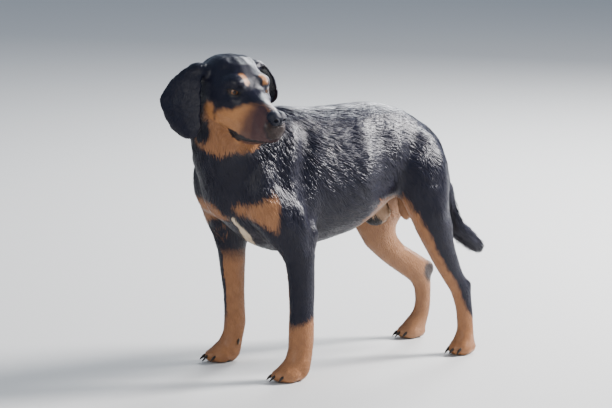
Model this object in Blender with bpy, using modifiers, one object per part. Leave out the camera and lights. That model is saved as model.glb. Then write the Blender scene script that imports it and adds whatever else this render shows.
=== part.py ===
"""A standing hound, life size, its head turned to its left.

Metres, +Z up. The dog faces -Y and its left side is +X. The floor is z = 0.
"""

import math

import bpy
import numpy as np
from mathutils import Matrix, Vector

# ---- overall ----
VOXEL = 0.0036
BODY_SMOOTH = 50
LEG_SMOOTH = 20
HEAD_SMOOTH = 7
PART_GAP = 0.0004
FIT_GAP = 0.0004
RING = 18

# ---- head placement: the point midway between the eyes, and how the head is turned ----
HEAD_AT = (0.080, -0.286, 0.5537)
HEAD_YAW = math.radians(92.2)
HEAD_PITCH = math.radians(4.7)
HEAD_ROLL = math.radians(-2.1)

# ---- eyes and nose, in the head's frame: across to its left, forward, up ----
EYE_RADIUS = 0.0112
EYE_AT = (0.0335, -0.0005, -0.0018)
NOSE_AT = (0.0, 0.0940, -0.0345)
NOSE_RADII = (0.0185, 0.0135, 0.0145)

# ---- trunk: y, middle x, top, bottom, half width, height of the widest level ----
TRUNK = [
    (-0.306, 0.000, 0.396, 0.332, 0.034, 0.362),
    (-0.296, 0.000, 0.426, 0.306, 0.058, 0.362),
    (-0.276, 0.000, 0.452, 0.284, 0.078, 0.360),
    (-0.250, 0.000, 0.476, 0.262, 0.088, 0.358),
    (-0.220, 0.000, 0.494, 0.241, 0.093, 0.356),
    (-0.190, 0.000, 0.504, 0.229, 0.095, 0.354),
    (-0.150, 0.000, 0.505, 0.226, 0.095, 0.352),
    (-0.110, 0.000, 0.498, 0.234, 0.098, 0.350),
    (-0.060, 0.000, 0.4965, 0.243, 0.103, 0.352),
    (-0.020, 0.000, 0.498, 0.252, 0.104, 0.358),
    (0.020, 0.000, 0.4985, 0.272, 0.098, 0.372),
    (0.050, 0.000, 0.496, 0.292, 0.088, 0.388),
    (0.080, 0.000, 0.489, 0.306, 0.079, 0.396),
    (0.110, 0.000, 0.478, 0.314, 0.073, 0.396),
    (0.135, 0.000, 0.463, 0.322, 0.066, 0.394),
    (0.158, 0.000, 0.444, 0.334, 0.053, 0.390),
    (0.174, 0.000, 0.426, 0.348, 0.038, 0.386),
    (0.184, 0.000, 0.408, 0.362, 0.022, 0.384),
]

# ---- tubes: x, y, z, half size across, half size fore and aft ----
NECK = [
    (0.000, -0.190, 0.355, 0.084, 0.104),
    (0.000, -0.242, 0.400, 0.079, 0.102),
    (0.000, -0.270, 0.440, 0.070, 0.085),
    (-0.002, -0.283, 0.480, 0.062, 0.073),
    (0.000, -0.290, 0.518, 0.056, 0.062),
    (0.018, -0.291, 0.545, 0.052, 0.056),
]
TAIL = [
    (0.000, 0.130, 0.436, 0.024, 0.024),
    (0.002, 0.160, 0.424, 0.0225, 0.0225),
    (0.006, 0.184, 0.398, 0.0205, 0.0205),
    (0.009, 0.199, 0.358, 0.0185, 0.0185),
    (0.010, 0.208, 0.318, 0.0170, 0.0170),
    (0.010, 0.214, 0.288, 0.0162, 0.0162),
    (0.010, 0.224, 0.260, 0.0156, 0.0156),
    (0.010, 0.240, 0.235, 0.0150, 0.0150),
    (0.010, 0.262, 0.213, 0.0138, 0.0138),
    (0.010, 0.284, 0.196, 0.0112, 0.0112),
    (0.010, 0.301, 0.184, 0.0060, 0.0060),
]
FORELEG_LEFT = [
    (0.030, -0.232, 0.430, 0.022, 0.030),
    (0.050, -0.246, 0.395, 0.028, 0.036),
    (0.066, -0.250, 0.362, 0.032, 0.040),
    (0.078, -0.240, 0.330, 0.036, 0.046),
    (0.090, -0.208, 0.295, 0.034, 0.050),
    (0.096, -0.190, 0.260, 0.030, 0.041),
    (0.099, -0.185, 0.228, 0.0255, 0.0300),
    (0.100, -0.183, 0.198, 0.0230, 0.0280),
    (0.101, -0.182, 0.168, 0.0215, 0.0270),
    (0.102, -0.183, 0.135, 0.0205, 0.0255),
    (0.103, -0.184, 0.105, 0.0220, 0.0258),
    (0.105, -0.186, 0.078, 0.0220, 0.0262),
    (0.106, -0.188, 0.056, 0.0215, 0.0255),
    (0.108, -0.194, 0.038, 0.0230, 0.0270),
    (0.109, -0.200, 0.022, 0.0240, 0.0290),
]
FORELEG_RIGHT = [
    (-0.030, -0.236, 0.430, 0.022, 0.030),
    (-0.050, -0.252, 0.395, 0.028, 0.036),
    (-0.066, -0.256, 0.362, 0.032, 0.040),
    (-0.078, -0.248, 0.330, 0.036, 0.046),
    (-0.090, -0.226, 0.295, 0.034, 0.048),
    (-0.096, -0.214, 0.255, 0.029, 0.038),
    (-0.099, -0.211, 0.222, 0.0245, 0.0295),
    (-0.100, -0.209, 0.195, 0.0225, 0.0275),
    (-0.101, -0.207, 0.168, 0.0200, 0.0250),
    (-0.102, -0.204, 0.135, 0.0180, 0.0225),
    (-0.103, -0.202, 0.100, 0.0190, 0.0222),
    (-0.104, -0.201, 0.074, 0.0195, 0.0228),
    (-0.106, -0.203, 0.054, 0.0190, 0.0215),
    (-0.108, -0.208, 0.037, 0.0210, 0.0240),
    (-0.109, -0.214, 0.022, 0.0230, 0.0270),
]
HINDLEG_LEFT = [
    (0.026, 0.104, 0.440, 0.024, 0.030),
    (0.044, 0.112, 0.410, 0.038, 0.048),
    (0.060, 0.118, 0.370, 0.044, 0.060),
    (0.070, 0.122, 0.325, 0.040, 0.054),
    (0.078, 0.128, 0.288, 0.035, 0.043),
    (0.083, 0.137, 0.252, 0.030, 0.038),
    (0.085, 0.146, 0.222, 0.026, 0.030),
    (0.086, 0.156, 0.198, 0.0225, 0.0265),
    (0.086, 0.166, 0.178, 0.0200, 0.0245),
    (0.086, 0.1785, 0.155, 0.0175, 0.0215),
    (0.085, 0.191, 0.137, 0.0165, 0.0205),
    (0.085, 0.199, 0.122, 0.0162, 0.0215),
    (0.086, 0.203, 0.100, 0.0150, 0.0185),
    (0.087, 0.206, 0.078, 0.0148, 0.0185),
    (0.088, 0.207, 0.050, 0.0152, 0.0175),
    (0.089, 0.205, 0.034, 0.0185, 0.0205),
    (0.090, 0.201, 0.022, 0.0205, 0.0235),
]
HINDLEG_RIGHT = [
    (-0.026, 0.104, 0.440, 0.024, 0.030),
    (-0.044, 0.112, 0.410, 0.038, 0.048),
    (-0.060, 0.116, 0.370, 0.044, 0.062),
    (-0.070, 0.117, 0.318, 0.040, 0.066),
    (-0.078, 0.118, 0.274, 0.034, 0.063),
    (-0.082, 0.114, 0.242, 0.029, 0.050),
    (-0.084, 0.124, 0.212, 0.025, 0.036),
    (-0.085, 0.142, 0.190, 0.0215, 0.0290),
    (-0.086, 0.162, 0.172, 0.0195, 0.0265),
    (-0.086, 0.187, 0.156, 0.0175, 0.0275),
    (-0.086, 0.212, 0.140, 0.0175, 0.0285),
    (-0.086, 0.223, 0.121, 0.0165, 0.0230),
    (-0.086, 0.2285, 0.100, 0.0150, 0.0185),
    (-0.087, 0.230, 0.072, 0.0145, 0.0175),
    (-0.088, 0.227, 0.050, 0.0150, 0.0180),
    (-0.089, 0.219, 0.034, 0.0180, 0.0205),
    (-0.090, 0.210, 0.022, 0.0200, 0.0235),
]

# ---- head, in its own frame: forward, top, bottom, half width, height of the widest level ----
SKULL = [
    (-0.130, 0.022, -0.040, 0.030, -0.002),
    (-0.120, 0.038, -0.060, 0.045, -0.006),
    (-0.100, 0.050, -0.077, 0.056, -0.012),
    (-0.070, 0.057, -0.088, 0.060, -0.018),
    (-0.040, 0.057, -0.090, 0.059, -0.020),
    (-0.016, 0.047, -0.089, 0.0550, -0.022),
    (0.004, 0.027, -0.088, 0.0485, -0.025),
    (0.020, 0.006, -0.086, 0.0410, -0.036),
    (0.044, -0.006, -0.085, 0.0325, -0.050),
    (0.066, -0.013, -0.084, 0.0300, -0.053),
    (0.082, -0.020, -0.082, 0.0275, -0.054),
    (0.093, -0.033, -0.078, 0.0225, -0.056),
    (0.100, -0.046, -0.070, 0.0120, -0.058),
]

# ---- ears: front edge forward, out and up, then back edge forward, out and up ----
EAR_RIGHT = [
    (-0.0757, 0.046, 0.0380, -0.0899, 0.054, 0.0356),
    (-0.0640, 0.054, 0.0290, -0.1020, 0.079, 0.0260),
    (-0.0510, 0.064, 0.0123, -0.1175, 0.100, 0.0010),
    (-0.0410, 0.070, -0.0044, -0.1225, 0.110, -0.0183),
    (-0.0330, 0.075, -0.0233, -0.1290, 0.1175, -0.0395),
    (-0.0266, 0.078, -0.0388, -0.1130, 0.118, -0.0535),
    (-0.0216, 0.080, -0.0564, -0.0970, 0.115, -0.0720),
    (-0.0185, 0.082, -0.0707, -0.0825, 0.111, -0.0860),
    (-0.0200, 0.086, -0.0850, -0.0645, 0.104, -0.0960),
    (-0.0300, 0.090, -0.0960, -0.0460, 0.096, -0.1010),
]
EAR_LEFT = [
    (-0.072, 0.046, 0.0440, -0.092, 0.052, 0.0400),
    (-0.060, 0.062, 0.0410, -0.100, 0.072, 0.0320),
    (-0.050, 0.077, 0.0290, -0.108, 0.085, 0.0160),
    (-0.044, 0.088, 0.0120, -0.115, 0.093, -0.0010),
    (-0.040, 0.094, -0.0060, -0.118, 0.097, -0.0170),
    (-0.038, 0.097, -0.0200, -0.112, 0.098, -0.0280),
    (-0.040, 0.096, -0.0310, -0.102, 0.096, -0.0360),
    (-0.046, 0.091, -0.0390, -0.090, 0.091, -0.0410),
    (-0.056, 0.084, -0.0450, -0.078, 0.084, -0.0450),
]
EAR_HALF_THICK = 0.0048

# ---- muscle masses of the body: centre, half sizes, turn about X and lean about Y in degrees ----
BODY_MASSES = [
    ((0.058, -0.205, 0.428), (0.021, 0.060, 0.070), 22.0, -20.0),
    ((-0.058, -0.215, 0.428), (0.021, 0.060, 0.070), 22.0, 20.0),
    ((0.076, -0.180, 0.335), (0.028, 0.056, 0.074), -20.0, -6.0),
    ((-0.076, -0.194, 0.335), (0.028, 0.054, 0.074), -20.0, 6.0),
    ((0.058, -0.246, 0.360), (0.038, 0.036, 0.066), 0.0, 0.0),
    ((-0.058, -0.272, 0.366), (0.044, 0.044, 0.068), 0.0, 0.0),
    ((0.096, -0.160, 0.268), (0.018, 0.017, 0.028), -12.0, 0.0),
    ((-0.096, -0.186, 0.266), (0.018, 0.017, 0.028), -12.0, 0.0),
    ((0.000, -0.285, 0.370), (0.052, 0.046, 0.075), 0.0, 0.0),
    ((0.054, 0.080, 0.392), (0.024, 0.062, 0.064), 0.0, -14.0),
    ((-0.054, 0.076, 0.392), (0.024, 0.062, 0.064), 0.0, 14.0),
    ((0.050, 0.146, 0.350), (0.032, 0.040, 0.075), 6.0, -8.0),
    ((-0.050, 0.144, 0.350), (0.032, 0.040, 0.075), 6.0, 8.0),
    ((0.000, 0.060, 0.277), (0.012, 0.036, 0.026), 12.0, 0.0),
    ((0.000, 0.1245, 0.293), (0.0175, 0.0165, 0.041), 6.0, 0.0),
    ((0.085, 0.208, 0.132), (0.011, 0.016, 0.017), 0.0, 0.0),
    ((-0.086, 0.237, 0.137), (0.012, 0.019, 0.019), 0.0, 0.0),
]

# ---- masses of the head, mirrored: across, forward, up, and half sizes in the same order ----
HEAD_MASSES = [
    ((0.0250, -0.006, 0.0185), (0.0180, 0.0190, 0.0120)),
    ((0.0290, -0.012, 0.0150), (0.0205, 0.0300, 0.0145)),
    ((0.0355, -0.012, -0.0175), (0.0165, 0.0330, 0.0145)),
    ((0.0400, -0.030, -0.020), (0.0130, 0.0320, 0.0150)),
    ((0.0420, -0.058, -0.050), (0.0190, 0.0360, 0.0330)),
    ((0.0225, 0.032, -0.0665), (0.0120, 0.0500, 0.0225)),
    ((0.0220, -0.058, 0.032), (0.0240, 0.0380, 0.0225)),
    ((0.0130, 0.074, -0.0545), (0.0165, 0.0270, 0.0230)),
    ((0.0080, 0.066, -0.078), (0.0120, 0.0240, 0.0090)),
    ((0.0080, 0.008, -0.0865), (0.0200, 0.0520, 0.0125)),
    ((0.0100, -0.034, -0.098), (0.0320, 0.0480, 0.0270)),
    ((0.0120, -0.050, -0.128), (0.0380, 0.0440, 0.0400)),
]
EAR_BASES = [
    ((-0.054, -0.084, 0.022), (0.0220, 0.0280, 0.0160)),
    ((0.054, -0.078, 0.026), (0.0220, 0.0260, 0.0150)),
]

# ---- paws: middle x, y, heading in degrees, half width ----
PAWS = {
    "fore_left": (0.109, -0.210, -8.0, 0.0270),
    "fore_right": (-0.110, -0.222, -12.0, 0.0260),
    "hind_left": (0.090, 0.203, 4.0, 0.0235),
    "hind_right": (-0.090, 0.209, -10.0, 0.0230),
}

# ---- heel pad and knuckle of a paw: back and up, then half sizes ----
PAW_PADS = (
    ((0.012, 0.012), (0.021, 0.020, 0.015)),
    ((-0.004, 0.024), (0.022, 0.022, 0.016)),
)

# ---- claws: where each toe's claw springs from, across and ahead, for a half width of 0.027 ----
CLAW_ROOTS = ((-0.0190, -0.0275), (-0.0070, -0.0400), (0.0070, -0.0400), (0.0190, -0.0275))
CLAW_LENGTH = 0.0120
CLAW_RINGS = ((-0.30, 0.0026, 0.0), (0.25, 0.0027, 0.0), (0.62, 0.0020, -0.0006), (1.0, 0.0007, -0.0022))
DEWCLAWS = (
    ("dewclaw_fore_left", (0.0895, -0.186, 0.043), (-0.35, -0.50, -0.85)),
    ("dewclaw_fore_right", (-0.0895, -0.202, 0.042), (0.35, -0.45, -0.85)),
)

# ---- parting cuts: middle, lengths of the two long sides, direction square to the cut ----
CUTS = [
    ((0.005, -0.287, 0.5375), (0.300, 0.142), (0.721, 0.0, 0.693)),
    ((0.000, -0.260, 0.440), (0.300, 0.240), (0.0, -0.65, 0.76)),
    ((0.000, 0.010, 0.380), (0.300, 0.360), (0.0, 1.0, 0.0)),
    ((0.101, -0.185, 0.240), (0.088, 0.130), (0.0, 0.0, 1.0)),
    ((-0.101, -0.210, 0.240), (0.088, 0.130), (0.0, 0.0, 1.0)),
    ((0.106, -0.188, 0.064), (0.070, 0.080), (0.0, 0.0, 1.0)),
    ((-0.106, -0.203, 0.062), (0.070, 0.080), (0.0, 0.0, 1.0)),
    ((0.083, 0.135, 0.262), (0.110, 0.150), (0.0, 0.0, 1.0)),
    ((-0.083, 0.118, 0.262), (0.110, 0.170), (0.0, 0.0, 1.0)),
    ((0.086, 0.203, 0.104), (0.060, 0.070), (0.0, 0.0, 1.0)),
    ((-0.086, 0.228, 0.104), (0.060, 0.070), (0.0, 0.0, 1.0)),
    ((0.010, 0.211, 0.330), (0.050, 0.056), (0.0, 0.0, 1.0)),
    ((0.010, 0.238, 0.238), (0.060, 0.060), (0.0, 0.60, -0.80)),
]
EAR_CUT_OUT = 0.0625
ANCHORS = {
    "head": (0.085, -0.288, 0.545),
    "ear_right": (0.000, -0.385, 0.530),
    "ear_left": (0.000, -0.195, 0.555),
    "neck": (0.000, -0.280, 0.465),
    "chest": (0.000, -0.170, 0.350),
    "hindquarters": (0.000, 0.110, 0.380),
    "forearm_left": (0.101, -0.183, 0.150),
    "forearm_right": (-0.101, -0.206, 0.150),
    "forepaw_left": (0.109, -0.205, 0.020),
    "forepaw_right": (-0.110, -0.218, 0.020),
    "gaskin_left": (0.085, 0.160, 0.190),
    "gaskin_right": (-0.085, 0.160, 0.190),
    "hindfoot_left": (0.088, 0.205, 0.040),
    "hindfoot_right": (-0.088, 0.212, 0.040),
    "tail": (0.010, 0.212, 0.290),
    "tail_end": (0.010, 0.270, 0.205),
}
TAN_PARTS = ("forepaw_left", "forepaw_right", "hindfoot_left", "hindfoot_right")


COLORS = {
    "coat_black": (0.012, 0.011, 0.012, 1.0),
    "coat_tan": (0.36, 0.15, 0.05, 1.0),
    "eye": (0.10, 0.04, 0.012, 1.0),
    "nose": (0.010, 0.010, 0.012, 1.0),
    "claw": (0.03, 0.025, 0.022, 1.0),
}


def clear_scene():
    for obj in list(bpy.data.objects):
        bpy.data.objects.remove(obj, do_unlink=True)


def mesh_object(name, points, faces):
    mesh = bpy.data.meshes.new(name)
    mesh.from_pydata([tuple(p) for p in points], [], faces)
    mesh.update()
    obj = bpy.data.objects.new(name, mesh)
    bpy.context.scene.collection.objects.link(obj)
    return obj


def only(obj):
    bpy.ops.object.select_all(action="DESELECT")
    obj.select_set(True)
    bpy.context.view_layer.objects.active = obj


def outward(obj):
    only(obj)
    bpy.ops.object.mode_set(mode="EDIT")
    bpy.ops.mesh.select_all(action="SELECT")
    bpy.ops.mesh.normals_make_consistent(inside=False)
    bpy.ops.object.mode_set(mode="OBJECT")
    return obj


def apply(obj, kind, **settings):
    only(obj)
    modifier = obj.modifiers.new(kind.title(), kind)
    for key, value in settings.items():
        setattr(modifier, key, value)
    bpy.ops.object.modifier_apply(modifier=modifier.name)


def join(objects, name):
    bpy.ops.object.select_all(action="DESELECT")
    for obj in objects:
        obj.select_set(True)
    bpy.context.view_layer.objects.active = objects[0]
    bpy.ops.object.join()
    objects[0].name = name
    return objects[0]


def loft(name, rings):
    """A closed solid through rings that all have the same number of points."""
    count = len(rings[0])
    points = [point for ring in rings for point in ring]
    faces = [tuple(range(count))[::-1]]
    for level in range(len(rings) - 1):
        low = level * count
        for i in range(count):
            j = (i + 1) % count
            faces.append((low + i, low + j, low + count + j, low + count + i))
    last = (len(rings) - 1) * count
    faces.append(tuple(range(last, last + count)))
    return outward(mesh_object(name, points, faces))


def tube(name, stations):
    """A loft along a path, each ring square to it."""
    centres = np.array([station[:3] for station in stations])
    rings = []
    for i, (_, _, _, across, deep) in enumerate(stations):
        ahead = centres[min(i + 1, len(stations) - 1)]
        behind = centres[max(i - 1, 0)]
        along = (ahead - behind) / np.linalg.norm(ahead - behind)
        side = np.array([1.0, 0.0, 0.0]) - along * along[0]
        side /= np.linalg.norm(side)
        fore = np.cross(along, side)
        ring = []
        for k in range(RING):
            turn = 2 * math.pi * k / RING
            ring.append(centres[i] + side * across * math.cos(turn) + fore * deep * math.sin(turn))
        rings.append(ring)
    return loft(name, rings)


def egg_section(half_width, top, bottom, widest):
    """Points round an egg-shaped section, as across and up."""
    section = []
    for k in range(RING):
        turn = 2 * math.pi * k / RING
        rise = math.sin(turn)
        height = (top - widest) if rise > 0 else (widest - bottom)
        section.append((half_width * math.cos(turn), widest + height * rise))
    return section


def trunk_body():
    rings = []
    for y, middle, top, bottom, half_width, widest in TRUNK:
        section = egg_section(half_width, top, bottom, widest)
        rings.append([(middle + across, y, up) for across, up in section])
    return loft("trunk_body", rings)


def head_matrix():
    """Maps the head's frame (across to its left, forward, up) to the dog's frame."""
    forward = Vector((math.sin(HEAD_YAW), -math.cos(HEAD_YAW), 0.0))
    left = Vector((math.cos(HEAD_YAW), math.sin(HEAD_YAW), 0.0))
    up = Vector((0.0, 0.0, 1.0))
    ahead = forward * math.cos(HEAD_PITCH) - up * math.sin(HEAD_PITCH)
    crown = forward * math.sin(HEAD_PITCH) + up * math.cos(HEAD_PITCH)
    across = left * math.cos(HEAD_ROLL) + crown * math.sin(HEAD_ROLL)
    upright = crown * math.cos(HEAD_ROLL) - left * math.sin(HEAD_ROLL)
    turn = Matrix((across, ahead, upright)).transposed().to_4x4()
    return Matrix.Translation(HEAD_AT) @ turn


def mass(name, centre, radii, matrix=None, turn=0.0, lean=0.0, segments=20, rings=14):
    """An ellipsoid, turned about X, leaned about Y and then placed by a matrix."""
    bpy.ops.mesh.primitive_uv_sphere_add(segments=segments, ring_count=rings, radius=1.0)
    obj = bpy.context.object
    obj.name = name
    place = Matrix.Translation(centre) @ Matrix.Rotation(math.radians(lean), 4, "Y")
    place = place @ Matrix.Rotation(math.radians(turn), 4, "X") @ Matrix.Diagonal((*radii, 1.0))
    obj.data.transform((matrix or Matrix.Identity(4)) @ place)
    return outward(obj)


def skull_body(matrix):
    rings = []
    for forward, top, bottom, half_width, widest in SKULL:
        section = egg_section(half_width, top, bottom, widest)
        rings.append([matrix @ Vector((across, forward, up)) for across, up in section])
    return loft("skull_body", rings)


def ear_leaf(name, rows, side, matrix):
    """A hanging ear: rounded slices from its fold down to its tip."""
    marks = (0.0, 0.06, 0.2, 0.4, 0.6, 0.8, 0.94, 1.0)
    rings = []
    for front, front_out, front_up, back, back_out, back_up in rows:
        start = Vector((side * front_out, front, front_up))
        run = Vector((side * back_out, back, back_up)) - start
        face = run.cross(Vector((0.0, 0.0, 1.0))).normalized()
        face = face if face.x * side > 0 else -face
        outer = []
        inner = []
        for mark in marks:
            middle = start + run * mark + face * 0.006 * math.sin(math.pi * mark)
            thick = EAR_HALF_THICK * max(math.sin(math.pi * mark), 0.0) ** 0.35
            outer.append(middle + face * thick)
            inner.append(middle - face * thick)
        ring = outer[:-1] + [outer[-1]] + inner[-2:0:-1]
        rings.append([matrix @ point for point in ring])
    return loft(name, rings)


def paw_masses(name, x, y, heading, half_width):
    """Pad, four toes and the knuckle over them. Toes point along the heading from -Y."""
    place = Matrix.Translation((x, y, 0.0)) @ Matrix.Rotation(math.radians(heading), 4, "Z")
    scale = half_width / 0.027
    made = []
    for centre, radii in PAW_PADS:
        size = (radii[0] * scale, radii[1] * scale, radii[2])
        made.append(mass(name + "_pad", (0.0, centre[0] * scale, centre[1]), size, place))
    for across, ahead, reach in ((-0.0185, -0.010, 0.0215), (-0.0068, -0.021, 0.0235)):
        for side in (1, -1):
            centre = (side * across * scale, ahead * scale, 0.0120)
            made.append(mass(name + "_toe", centre, (0.0088 * scale, reach * scale, 0.0145), place))
    return made


def claw_places():
    """Name, base point, direction and length of every claw."""
    places = []
    for name, (x, y, heading, half_width) in PAWS.items():
        turn = Matrix.Rotation(math.radians(heading), 4, "Z")
        scale = half_width / 0.027
        for i, (across, ahead) in enumerate(CLAW_ROOTS):
            base = Vector((x, y, 0.0)) + turn @ Vector((across * scale, ahead * scale, 0.0125))
            aim = turn @ Vector((across * 3.0, -1.0, -0.62))
            places.append((f"claw_{name}_{i + 1}", base, aim.normalized(), CLAW_LENGTH))
    for name, base, aim in DEWCLAWS:
        places.append((name, Vector(base), Vector(aim).normalized(), 0.0095))
    return places


def claw_solid(name, base, aim, length, grow=0.0):
    """A curved, pointed claw of three rings and a tip."""
    side = aim.cross(Vector((0.0, 0.0, 1.0))).normalized()
    rise = side.cross(aim).normalized()
    rings = []
    for share, radius, drop in CLAW_RINGS:
        centre = base + aim * length * share + rise * drop
        ring = []
        for k in range(6):
            turn = 2 * math.pi * k / 6
            wide = (radius * 0.85 + grow) * math.cos(turn)
            tall = (radius * 1.15 + grow) * math.sin(turn)
            ring.append(centre + side * wide + rise * tall)
        rings.append(ring)
    return loft(name, rings)


def nose_solid(name, matrix, grow=0.0):
    radii = tuple(r + grow for r in NOSE_RADII)
    return mass(name, NOSE_AT, radii, matrix, segments=16, rings=8)


def eye_solid(name, side, matrix, grow=0.0):
    across, forward, up = EYE_AT
    radius = EYE_RADIUS + grow
    return mass(name, (side * across, forward, up), (radius,) * 3, matrix, segments=14, rings=8)


def material(name):
    found = bpy.data.materials.get(name)
    if found:
        return found
    made = bpy.data.materials.new(name)
    made.use_nodes = True
    shader = made.node_tree.nodes["Principled BSDF"]
    shader.inputs["Base Color"].default_value = COLORS[name]
    shader.inputs["Roughness"].default_value = 0.25 if name in ("eye", "nose") else 0.6
    made.diffuse_color = COLORS[name]
    return made


def dress(obj, slot):
    obj.data.materials.clear()
    obj.data.materials.append(material(slot))


def smooth_region(body, name, weight_at, steps):
    """Relaxes the skin where weight_at(point) is above zero."""
    group = body.vertex_groups.new(name=name)
    for vertex in body.data.vertices:
        weight = weight_at(vertex.co)
        if weight > 0.0:
            group.add([vertex.index], weight, "REPLACE")
    apply(body, "SMOOTH", factor=0.5, iterations=steps, vertex_group=name)


def on_head(point):
    local = HEAD_INVERSE @ point
    near = min(max((0.150 - abs(local.x)) / 0.02, 0.0), 1.0)
    near *= min(max((local.y + 0.135) / 0.03, 0.0), 1.0)
    return near * min(max((local.z + 0.110) / 0.02, 0.0), 1.0)


def on_leg(point):
    return (1.0 - on_head(point)) * min(max((0.275 - point.z) / 0.05, 0.0), 1.0)


def on_body(point):
    return (1.0 - on_head(point)) * (1.0 - on_leg(point))


def on_paw(point):
    return 1.0 if point.z < 0.050 else 0.0


def on_shank(point):
    return 1.0 if 0.050 <= point.z < 0.250 and on_head(point) == 0.0 else 0.0


def on_torso(point):
    return 1.0 if point.z >= 0.250 and on_head(point) == 0.0 else 0.0


def thin(body, name, region, triangles):
    """Leaves about this many triangles where region(point) is above zero, and the rest alone."""
    group = body.vertex_groups.new(name=name)
    group.add([vertex.index for vertex in body.data.vertices if region(vertex.co) > 0.0], 1.0, "REPLACE")
    inside = [region(vertex.co) > 0.0 for vertex in body.data.vertices]
    everywhere = sum(len(face.vertices) - 2 for face in body.data.polygons)
    here = sum(len(face.vertices) - 2 for face in body.data.polygons if all(inside[i] for i in face.vertices))
    ratio = (everywhere - here + triangles) / everywhere
    apply(body, "DECIMATE", ratio=ratio, vertex_group=name, vertex_group_factor=1.0)


REGIONS = {
    "head_faces": (on_head, 1420),
    "torso_faces": (on_torso, 700),
    "shank_faces": (on_shank, 400),
    "paw_faces": (on_paw, 640),
}


def flesh_body(matrix):
    """The whole animal as one closed skin, before it is parted."""
    pieces = [trunk_body(), skull_body(matrix)]
    tubes = {
        "neck_tube": NECK,
        "tail_tube": TAIL,
        "foreleg_left_tube": FORELEG_LEFT,
        "foreleg_right_tube": FORELEG_RIGHT,
        "hindleg_left_tube": HINDLEG_LEFT,
        "hindleg_right_tube": HINDLEG_RIGHT,
    }
    for name, stations in tubes.items():
        pieces.append(tube(name, stations))
    for centre, radii, turn, lean in BODY_MASSES:
        pieces.append(mass("muscle", centre, radii, turn=turn, lean=lean))
    for (across, forward, up), radii in HEAD_MASSES:
        for side in (1, -1):
            pieces.append(mass("face", (side * across, forward, up), radii, matrix))
    for centre, radii in EAR_BASES:
        pieces.append(mass("ear_base", centre, radii, matrix))
    pieces.append(ear_leaf("ear_right_leaf", EAR_RIGHT, -1, matrix))
    pieces.append(ear_leaf("ear_left_leaf", EAR_LEFT, 1, matrix))
    for name, (x, y, heading, half_width) in PAWS.items():
        pieces.extend(paw_masses(name, x, y, heading, half_width))
    body = join(pieces, "flesh")
    apply(body, "REMESH", mode="VOXEL", voxel_size=VOXEL)
    smooth_region(body, "body", on_body, BODY_SMOOTH)
    smooth_region(body, "legs", on_leg, LEG_SMOOTH)
    smooth_region(body, "head", on_head, HEAD_SMOOTH)
    for name, (region, triangles) in REGIONS.items():
        thin(body, name, region, triangles)
    apply(body, "TRIANGULATE")
    return body


def box_cutter(name, centre, sizes, matrix=None, normal=(0.0, 0.0, 1.0)):
    """A box whose third side lies along the normal and whose first lies nearest to X."""
    bpy.ops.mesh.primitive_cube_add(size=1.0)
    obj = bpy.context.object
    obj.name = name
    square = Vector(normal).normalized()
    first = (Vector((1.0, 0.0, 0.0)) - square * square.x).normalized()
    aim = Matrix((first, square.cross(first), square)).transposed().to_4x4()
    place = Matrix.Translation(centre) @ aim @ Matrix.Diagonal((*sizes, 1.0))
    obj.data.transform((matrix or Matrix.Identity(4)) @ place)
    return outward(obj)


def carve(body, cutters):
    for cutter in cutters:
        apply(body, "BOOLEAN", operation="DIFFERENCE", solver="EXACT", object=cutter)
        bpy.data.objects.remove(cutter, do_unlink=True)


def parting_cuts():
    """Thin boxes that part the skin into the regions a person would name."""
    cuts = []
    for i, (centre, sizes, normal) in enumerate(CUTS):
        cuts.append(box_cutter(f"cut_{i}", centre, (*sizes, PART_GAP), normal=normal))
    for side in (1, -1):
        centre = (side * EAR_CUT_OUT, -0.082, 0.006)
        cuts.append(box_cutter("cut_ear", centre, (PART_GAP, 0.124, 0.112), HEAD))
    return cuts


def part_flesh(body):
    """Separates the cut skin and names each piece by the anchor nearest its middle."""
    only(body)
    bpy.ops.mesh.separate(type="LOOSE")
    pieces = [obj for obj in bpy.context.scene.objects if obj.name.startswith("flesh")]
    for piece in pieces:
        points = [vertex.co for vertex in piece.data.vertices]
        middle = sum(points, Vector()) / len(points)
        nearest = min(ANCHORS, key=lambda key: (Vector(ANCHORS[key]) - middle).length)
        piece.name = nearest
        dress(piece, "coat_tan" if nearest in TAN_PARTS else "coat_black")


def settle():
    """Moves everything so that the origin is under the middle of the whole, on the floor."""
    solids = list(bpy.data.objects)
    corners = np.array([vertex.co for solid in solids for vertex in solid.data.vertices])
    low = corners.min(axis=0)
    high = corners.max(axis=0)
    shift = Vector((-(low[0] + high[0]) / 2, -(low[1] + high[1]) / 2, -low[2]))
    for solid in solids:
        solid.data.transform(Matrix.Translation(shift))


clear_scene()
HEAD = head_matrix()
HEAD_INVERSE = HEAD.inverted()
flesh = flesh_body(HEAD)
fitted = [box_cutter("floor_cut", (0.0, 0.0, -0.05), (1.0, 1.4, 0.1))]
fitted.append(nose_solid("nose_cut", HEAD, FIT_GAP))
for side_name, side_sign in (("left", 1), ("right", -1)):
    fitted.append(eye_solid(f"eye_cut_{side_name}", side_sign, HEAD, FIT_GAP))
for claw_name, claw_base, claw_aim, claw_length in claw_places():
    fitted.append(claw_solid(claw_name + "_cut", claw_base, claw_aim, claw_length, FIT_GAP))
carve(flesh, fitted)
carve(flesh, parting_cuts())
part_flesh(flesh)
dress(nose_solid("nose", HEAD), "nose")
for side_name, side_sign in (("left", 1), ("right", -1)):
    dress(eye_solid(f"eye_{side_name}", side_sign, HEAD), "eye")
for claw_name, claw_base, claw_aim, claw_length in claw_places():
    dress(claw_solid(claw_name, claw_base, claw_aim, claw_length), "claw")
settle()
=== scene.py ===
import math

import bpy
import numpy as np
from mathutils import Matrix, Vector
from mathutils.bvhtree import BVHTree


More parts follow.
